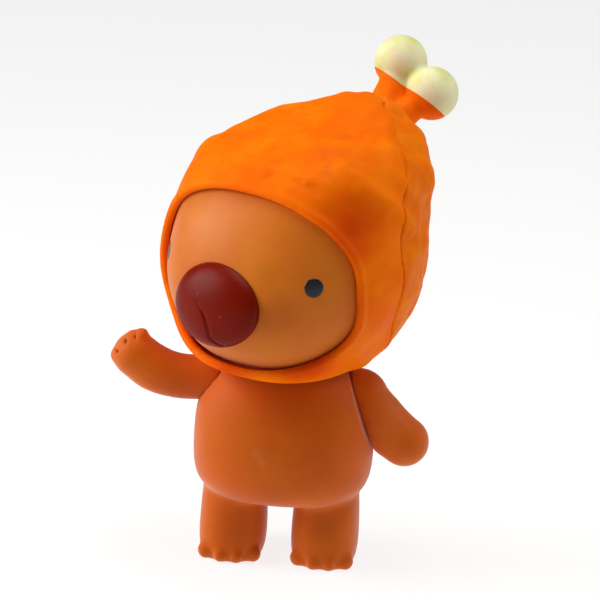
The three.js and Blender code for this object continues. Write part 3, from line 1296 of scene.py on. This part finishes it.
@dataclass
class Hood(Maker):
    """A pixie hood in two glued halves, with a rolled lip round the face and folds behind its side seam."""

    wall: float = 1.5
    lip: float = 0.92
    lip_sunk: float = 0.7
    neck_hole: float = 12.1
    form: tuple[Section, ...] = sections(
        (39.2, 6.6, 7.6, 7.0),
        (37.5, 12.2, 14.7, 13.0),
        (41.0, 16.2, 19.2, 17.2),
        (47.5, 21.1, 22.2, 20.4),
        (54.0, 23.7, 23.4, 21.5),
        (61.0, 24.2, 22.7, 23.2),
        (68.0, 22.9, 20.3, 23.5),
        (74.0, 21.8, 17.6, 23.9),
        (79.4, 19.8, 12.9, 25.6),
        (83.2, 12.5, 0.2, 26.0),
        (86.3, 5.8, -13.2, 23.4),
        (87.2, 2.4, -16.6, 20.4),
    )
    opening_middle: tuple[float, float] = (0.7, 57.3)
    opening_half: tuple[float, float] = (21.7, 17.0)
    seam: tuple[tuple[float, float], ...] = (
        (10.0, 34.0), (6.0, 44.0), (2.6, 52.0), (1.0, 62.0), (2.4, 72.0),
        (8.0, 80.0), (17.0, 85.5), (28.0, 88.0), (40.0, 92.0),
    )
    lumps: tuple[tuple[float, float], ...] = ((8.0, 1.9), (2.4, 0.5))
    folds: tuple[Fold, ...] = (
        Fold(((54, 79), (68, 76), (82, 72), (94, 68)), 0.9, 2.4),
        Fold(((96, 74), (88, 78), (84, 81)), 0.5, 2.2),
        Fold(((50, 73), (66, 70)), -0.5, 5.0),
        Fold(((114, 83.4),), -0.5, 2.0),
        Fold(((100, 84.4), (84, 83.6)), 0.45, 2.2),
        Fold(((60, 83.2), (40, 82.6)), -0.45, 2.0),
        Fold(((-134, 84.6), (-150, 85.2)), -1.0, 3.4),
        Fold(((6, 78.2), (20, 77.8), (36, 77.0)), 0.42, 1.3),
        Fold(((14, 76.9), (26, 76.7), (42, 75.6)), -0.34, 1.0),
        Fold(((30, 79.8), (44, 78.6)), 0.36, 1.2),
        Fold(((2, 79.9), (13, 79.6)), -0.32, 1.2),
        Fold(((-34, 80.6), (-52, 79.6), (-64, 77.0)), 0.5, 3.0),
        Fold(((127, 82.5),), 0.5, 3.0),
        Fold(((112, 79.5), (132, 78.0)), -0.5, 2.0),
        Fold(((124, 74.5), (136, 73.5)), 0.5, 3.0),
        Fold(((112, 71), (134, 69.5)), -0.6, 2.2),
        Fold(((120, 64), (128, 58)), 0.55, 5.0),
        Fold(((104, 79), (101, 66), (103, 54)), 0.4, 1.8),
        Fold(((109, 76), (107, 62), (109, 50)), -0.35, 1.5),
        Fold(((146, 80), (143, 66), (146, 50)), 0.5, 2.6),
        Fold(((168, 82), (164, 68), (167, 50)), 0.45, 2.8),
        Fold(((-168, 80), (-171, 64), (-167, 48)), -0.4, 2.4),
        Fold(((-150, 82), (-147, 66), (-150, 50)), 0.5, 2.6),
        Fold(((-128, 80), (-125, 64), (-129, 52)), 0.45, 2.4),
        Fold(((-106, 78), (-103, 64), (-106, 52)), 0.4, 2.0),
    )

    def on_skin(self, form: bpy.types.Object, bearing: float, z: float) -> Vector:
        """The point of the hood's skin at a bearing and a height.

        Args:
            form: The hood's closed outer form.
            bearing: Degrees round from the face towards the figure's left.
            z: Height in millimetres.

        Returns:
            The point in millimetres.
        """
        turn = math.radians(bearing)
        heading = Vector((math.sin(turn), -math.cos(turn), 0))
        middle = Vector((0, 3.0 + max(0.0, z - 78.0) * 1.6, z))
        found, spot, _, _ = form.ray_cast(metres(middle), heading)
        return spot / MM if found else middle + heading * 20

    def weather(self, form: bpy.types.Object) -> None:
        """Give the smooth form the soft lumps and folds of a knitted hood.

        Args:
            form: The hood's closed outer form.
        """
        soft = form.vertex_groups.new(name="soft")
        for vertex in form.data.vertices:
            place = vertex.co / MM
            behind = (place.y + 4.0) / 8.0
            above = (place.z - 76.0) / 5.0
            soft.add([vertex.index], min(max(behind, above, 0.0), 1.0), "REPLACE")
        for size, height in self.lumps:
            clouds = bpy.data.textures.new("lumps", "CLOUDS")
            clouds.noise_scale = size * MM
            clouds.noise_depth = 1
            Bench.apply(
                form, "DISPLACE", texture=clouds, texture_coords="LOCAL", strength=height * MM,
                mid_level=0.5, vertex_group="soft",
            )
        for fold in self.folds:
            line = [self.on_skin(form, bearing, z) for bearing, z in fold.line]
            Bench.push(form, line, fold.out, fold.reach, near=0.6)

    def outline(self, count: int = 40, squareness: float = 2.3) -> list[tuple[float, float]]:
        """The face opening's outline as X and Z.

        Args:
            count: Number of points.
            squareness: Superellipse exponent.

        Returns:
            The points in order round the opening.
        """
        wide, high = self.opening_half
        points = []
        for step in range(count):
            angle = 2 * math.pi * step / count
            c, s = math.cos(angle), math.sin(angle)
            x = math.copysign(abs(c) ** (2 / squareness), c) * wide
            z = math.copysign(abs(s) ** (2 / squareness), s) * high
            points.append((self.opening_middle[0] + x, self.opening_middle[1] + z))
        return points

    def build_lip(self, form: bpy.types.Object) -> bpy.types.Object:
        """Roll the lip: a bar laid round the face opening, half sunk in the hood.

        Args:
            form: The hood's outer form, which the bar follows.

        Returns:
            The bar.
        """
        Bench.clear()
        points = self.outline(48)
        bpy.ops.mesh.primitive_circle_add(
            vertices=len(points), radius=MM, fill_type="NOTHING", location=(0, 0, 0)
        )
        ring = bpy.context.object
        for vertex, (x, z) in zip(ring.data.vertices, points):
            vertex.co = metres((x, -40, z))
        Bench.apply(
            ring,
            "SHRINKWRAP",
            wrap_method="PROJECT",
            use_project_y=True,
            use_positive_direction=True,
            use_negative_direction=False,
            target=form,
            offset=-self.lip_sunk * MM,
        )
        laid = [tuple(vertex.co / MM) for vertex in ring.data.vertices]
        bpy.data.objects.remove(ring)
        return tube("lip", laid, [self.lip] * len(laid), closed=True)

    def seam_block(self, back: bool) -> bpy.types.Object:
        """A block that holds everything on one side of the side seam.

        Args:
            back: Whether it holds what lies behind the seam.

        Returns:
            The block.
        """
        far = 70.0 if back else -70.0
        shift = 0.11 if back else -0.11
        corners = [(far, self.seam[0][1]), *[(y + shift, z) for y, z in self.seam], (far, self.seam[-1][1])]
        return outline_prism("seam block", corners, 40.0, "YZ")

    def build_shell(self) -> bpy.types.Object:
        """Build the whole hood before it is parted at the seam.

        Returns:
            The hood's hollow shell with its face opening and neck hole.
        """
        shell = loft("hood", self.form, squareness=2.5)
        Bench.smooth_cage(shell, levels=3)
        self.weather(shell)
        lip = self.build_lip(shell)
        Bench.apply(shell, "SOLIDIFY", thickness=self.wall * MM, offset=-1.0, use_even_offset=True)
        opening = outline_prism("opening", self.outline(), 20.0, "XZ")
        Bench.take(opening)
        opening.location = metres((0, -22, 0))
        bpy.ops.object.transform_apply(location=True)
        Bench.cut(shell, opening)
        Bench.cut(shell, rod("neck gap", (0, 0, 39), (0, 0, 1), self.neck_hole, 8.0))
        return Bench.join("hood", shell, lip)

    def make(self) -> None:
        """Build, part, shape, settle and dress the hood's two halves."""
        shell = self.build_shell()
        Bench.fuse(shell, 0.4, relax=2)
        for name, back in (("hood_front_half", False), ("hood_back_half", True)):
            half = Bench.copy(shell, name)
            Bench.common(half, self.seam_block(back))
            Bench.fuse(half, 0.32, relax=4)
            settle(half, HEAD_TURN)
            Bench.mend(half)
            finish = self.finishes.hood_back if back else self.finishes.hood
            self.hand_over(half, finish, "head", "hood_vinyl", name.removesuffix("_half"))
        bpy.data.objects.remove(shell)


# ---- Pompoms -------------------------------------------------------------------------------------
@dataclass
class Pompoms(Maker):
    """A wide stem at the hood's tip that opens into two merged balls, cream above the paint line."""

    radius: float = 5.2
    spread: float = 9.2
    twist: float = 33.0
    centre: Point = (0.9, 34.8, 88.2)
    root: Point = (0.0, 27.6, 81.6)
    paint_drop: float = 3.0
    paint_facing: Point = (0.30, 0.52, 0.80)

    def build(self) -> tuple[bpy.types.Object, bpy.types.Object]:
        """Build the stem and the balls in one form, and part it at the paint line.

        Returns:
            The stem and the balls.
        """
        twist = math.radians(self.twist)
        along = Vector((math.cos(twist), 0, -math.sin(twist)))
        centre, root = Vector(self.centre), Vector(self.root)
        places = [centre + along * (sign * self.spread / 2) for sign in (-1, 1)]
        balls = [ball("pompom", place, [self.radius] * 3) for place in places]
        web = tube("web", [tuple(places[0]), tuple(centre), tuple(places[1])], (3.6, 3.0, 3.6))
        prongs = []
        for place in places:
            foot = root + (place - centre) * 0.35
            waist = foot.lerp(place, 0.5)
            prongs.append(tube("prong", [tuple(foot), tuple(waist), tuple(place)], (3.4, 2.7, 3.9)))
        whole = Bench.join("pompoms", *balls, web, *prongs)
        Bench.fuse(whole, 0.35, relax=8)
        up = Vector(self.paint_facing).normalized()
        line = centre - up * self.paint_drop
        stem, pair = Bench.copy(whole, "pompom_stem_moulding"), Bench.copy(whole, "pompom_balls")
        bpy.data.objects.remove(whole)
        Bench.slice(stem, line, -up)
        Bench.slice(pair, line, up)
        return stem, pair

    def make(self) -> None:
        """Build, settle and dress the stem and the pompoms."""
        stem, pair = self.build()
        for piece, finish, slot, node in (
            (stem, self.finishes.hood, "hood_vinyl", "pompom_stem"),
            (pair, self.finishes.cream, "pompom_vinyl", "pompom_pair"),
        ):
            settle(piece, HEAD_TURN)
            self.hand_over(piece, finish, "head", slot, node)
            Bench.crisp(piece)


# ---- Pegs ----------------------------------------------------------------------------------------
@dataclass
class Pegs(Maker):
    """The snap-in pegs that the neck and the shoulders turn on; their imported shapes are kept."""

    nodes: tuple[str, ...] = ("neck_peg", "raised_arm_peg", "hanging_arm_peg")

    def make(self) -> None:
        """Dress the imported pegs."""
        for name in self.nodes:
            peg = frame["nodes"][name]
            peg.data.materials.clear()
            peg.data.materials.append(self.finishes.peg)
            LOG.info("%s: packed shape, %d faces", name, len(peg.data.polygons))


# ---- Studio --------------------------------------------------------------------------------------
@dataclass
class Studio(Maker):
    """A white floor, a soft key from the figure's right, two fills and a long lens."""

    azimuth: float = 5.5
    elevation: float = 16.0
    roll: float = 2.9
    distance: float = 480.0
    lens: float = 152.4
    aim: Point = (-0.2, -0.39, 48.0)
    aim_shift: tuple[float, float] = (0.04, 0.002)

    def build_floor(self) -> None:
        """Lay the floor, a sheet of paper that runs far past the figure."""
        Bench.clear()
        bpy.ops.mesh.primitive_plane_add(size=6.0, location=(0, 0, 0))
        floor = bpy.context.object
        floor.name = "floor"
        floor.data.materials.append(self.finishes.floor)

    def build_lamp(self, name: str, at: Point, size: float, power: float, aim: Point = (0, 0, 50)) -> None:
        """Hang a soft box.

        Args:
            name: The lamp's name.
            at: Its place in millimetres.
            size: Its side in millimetres.
            power: Its power in watts.
            aim: The point that it faces, in millimetres.
        """
        Bench.clear()
        bpy.ops.object.light_add(type="AREA", location=metres(at))
        lamp = bpy.context.object
        lamp.name = name
        lamp.data.size = size * MM
        lamp.data.energy = power
        lamp.rotation_euler = (metres(aim) - metres(at)).to_track_quat("-Z", "Y").to_euler()

    def build_camera(self) -> None:
        """Set up the camera with its slight roll."""
        azimuth, elevation = math.radians(self.azimuth), math.radians(self.elevation)
        level = math.cos(elevation)
        back = Vector((math.sin(azimuth) * level, -math.cos(azimuth) * level, math.sin(elevation)))
        Bench.clear()
        bpy.ops.object.camera_add(location=metres(self.aim) + back * self.distance * MM)
        camera = bpy.context.object
        camera.data.lens = self.lens
        camera.data.sensor_width = 36.0
        camera.data.shift_x, camera.data.shift_y = self.aim_shift
        camera.data.clip_start, camera.data.clip_end = 0.01, 20.0
        facing = (-back).to_track_quat("-Z", "Y").to_matrix()
        camera.rotation_euler = (facing @ Matrix.Rotation(math.radians(self.roll), 3, "Z")).to_euler()
        bpy.context.scene.camera = camera

    def make(self) -> None:
        """Build the whole set."""
        self.build_floor()
        self.build_lamp("key", (-420, -60, 260), 300, 2.0)
        self.build_lamp("top", (30, -10, 490), 340, 1.45)
        self.build_lamp("side", (450, 60, 300), 300, 0.6)
        self.build_camera()
        world = bpy.data.worlds.new("dim room, pale walls")
        world.use_nodes = True
        tree = world.node_tree
        tree.nodes.clear()
        dim = add(tree, "ShaderNodeBackground", {"Color": linear("#ffffff"), "Strength": 0.06})
        pale = add(tree, "ShaderNodeBackground", {"Color": linear("#ffffff"), "Strength": 0.93})
        seen = add(tree, "ShaderNodeLightPath").outputs["Is Camera Ray"]
        both = add(tree, "ShaderNodeMixShader", {0: seen, 1: dim.outputs[0], 2: pale.outputs[0]})
        add(tree, "ShaderNodeOutputWorld", {"Surface": both.outputs[0]})
        bpy.context.scene.world = world
        bpy.context.scene.view_settings.view_transform = "Standard"


def main() -> None:
    """Build the figure piece by piece, then the set around it."""
    logging.basicConfig(level=logging.INFO, format="%(message)s")
    finishes = Finishes()
    for maker in (Torso, RaisedArm, HangingArm, Head, Hood, Pompoms, Pegs, Studio):
        LOG.info("making %s", maker.__name__)
        maker(finishes).make()


if __name__ == "__main__":
    main()
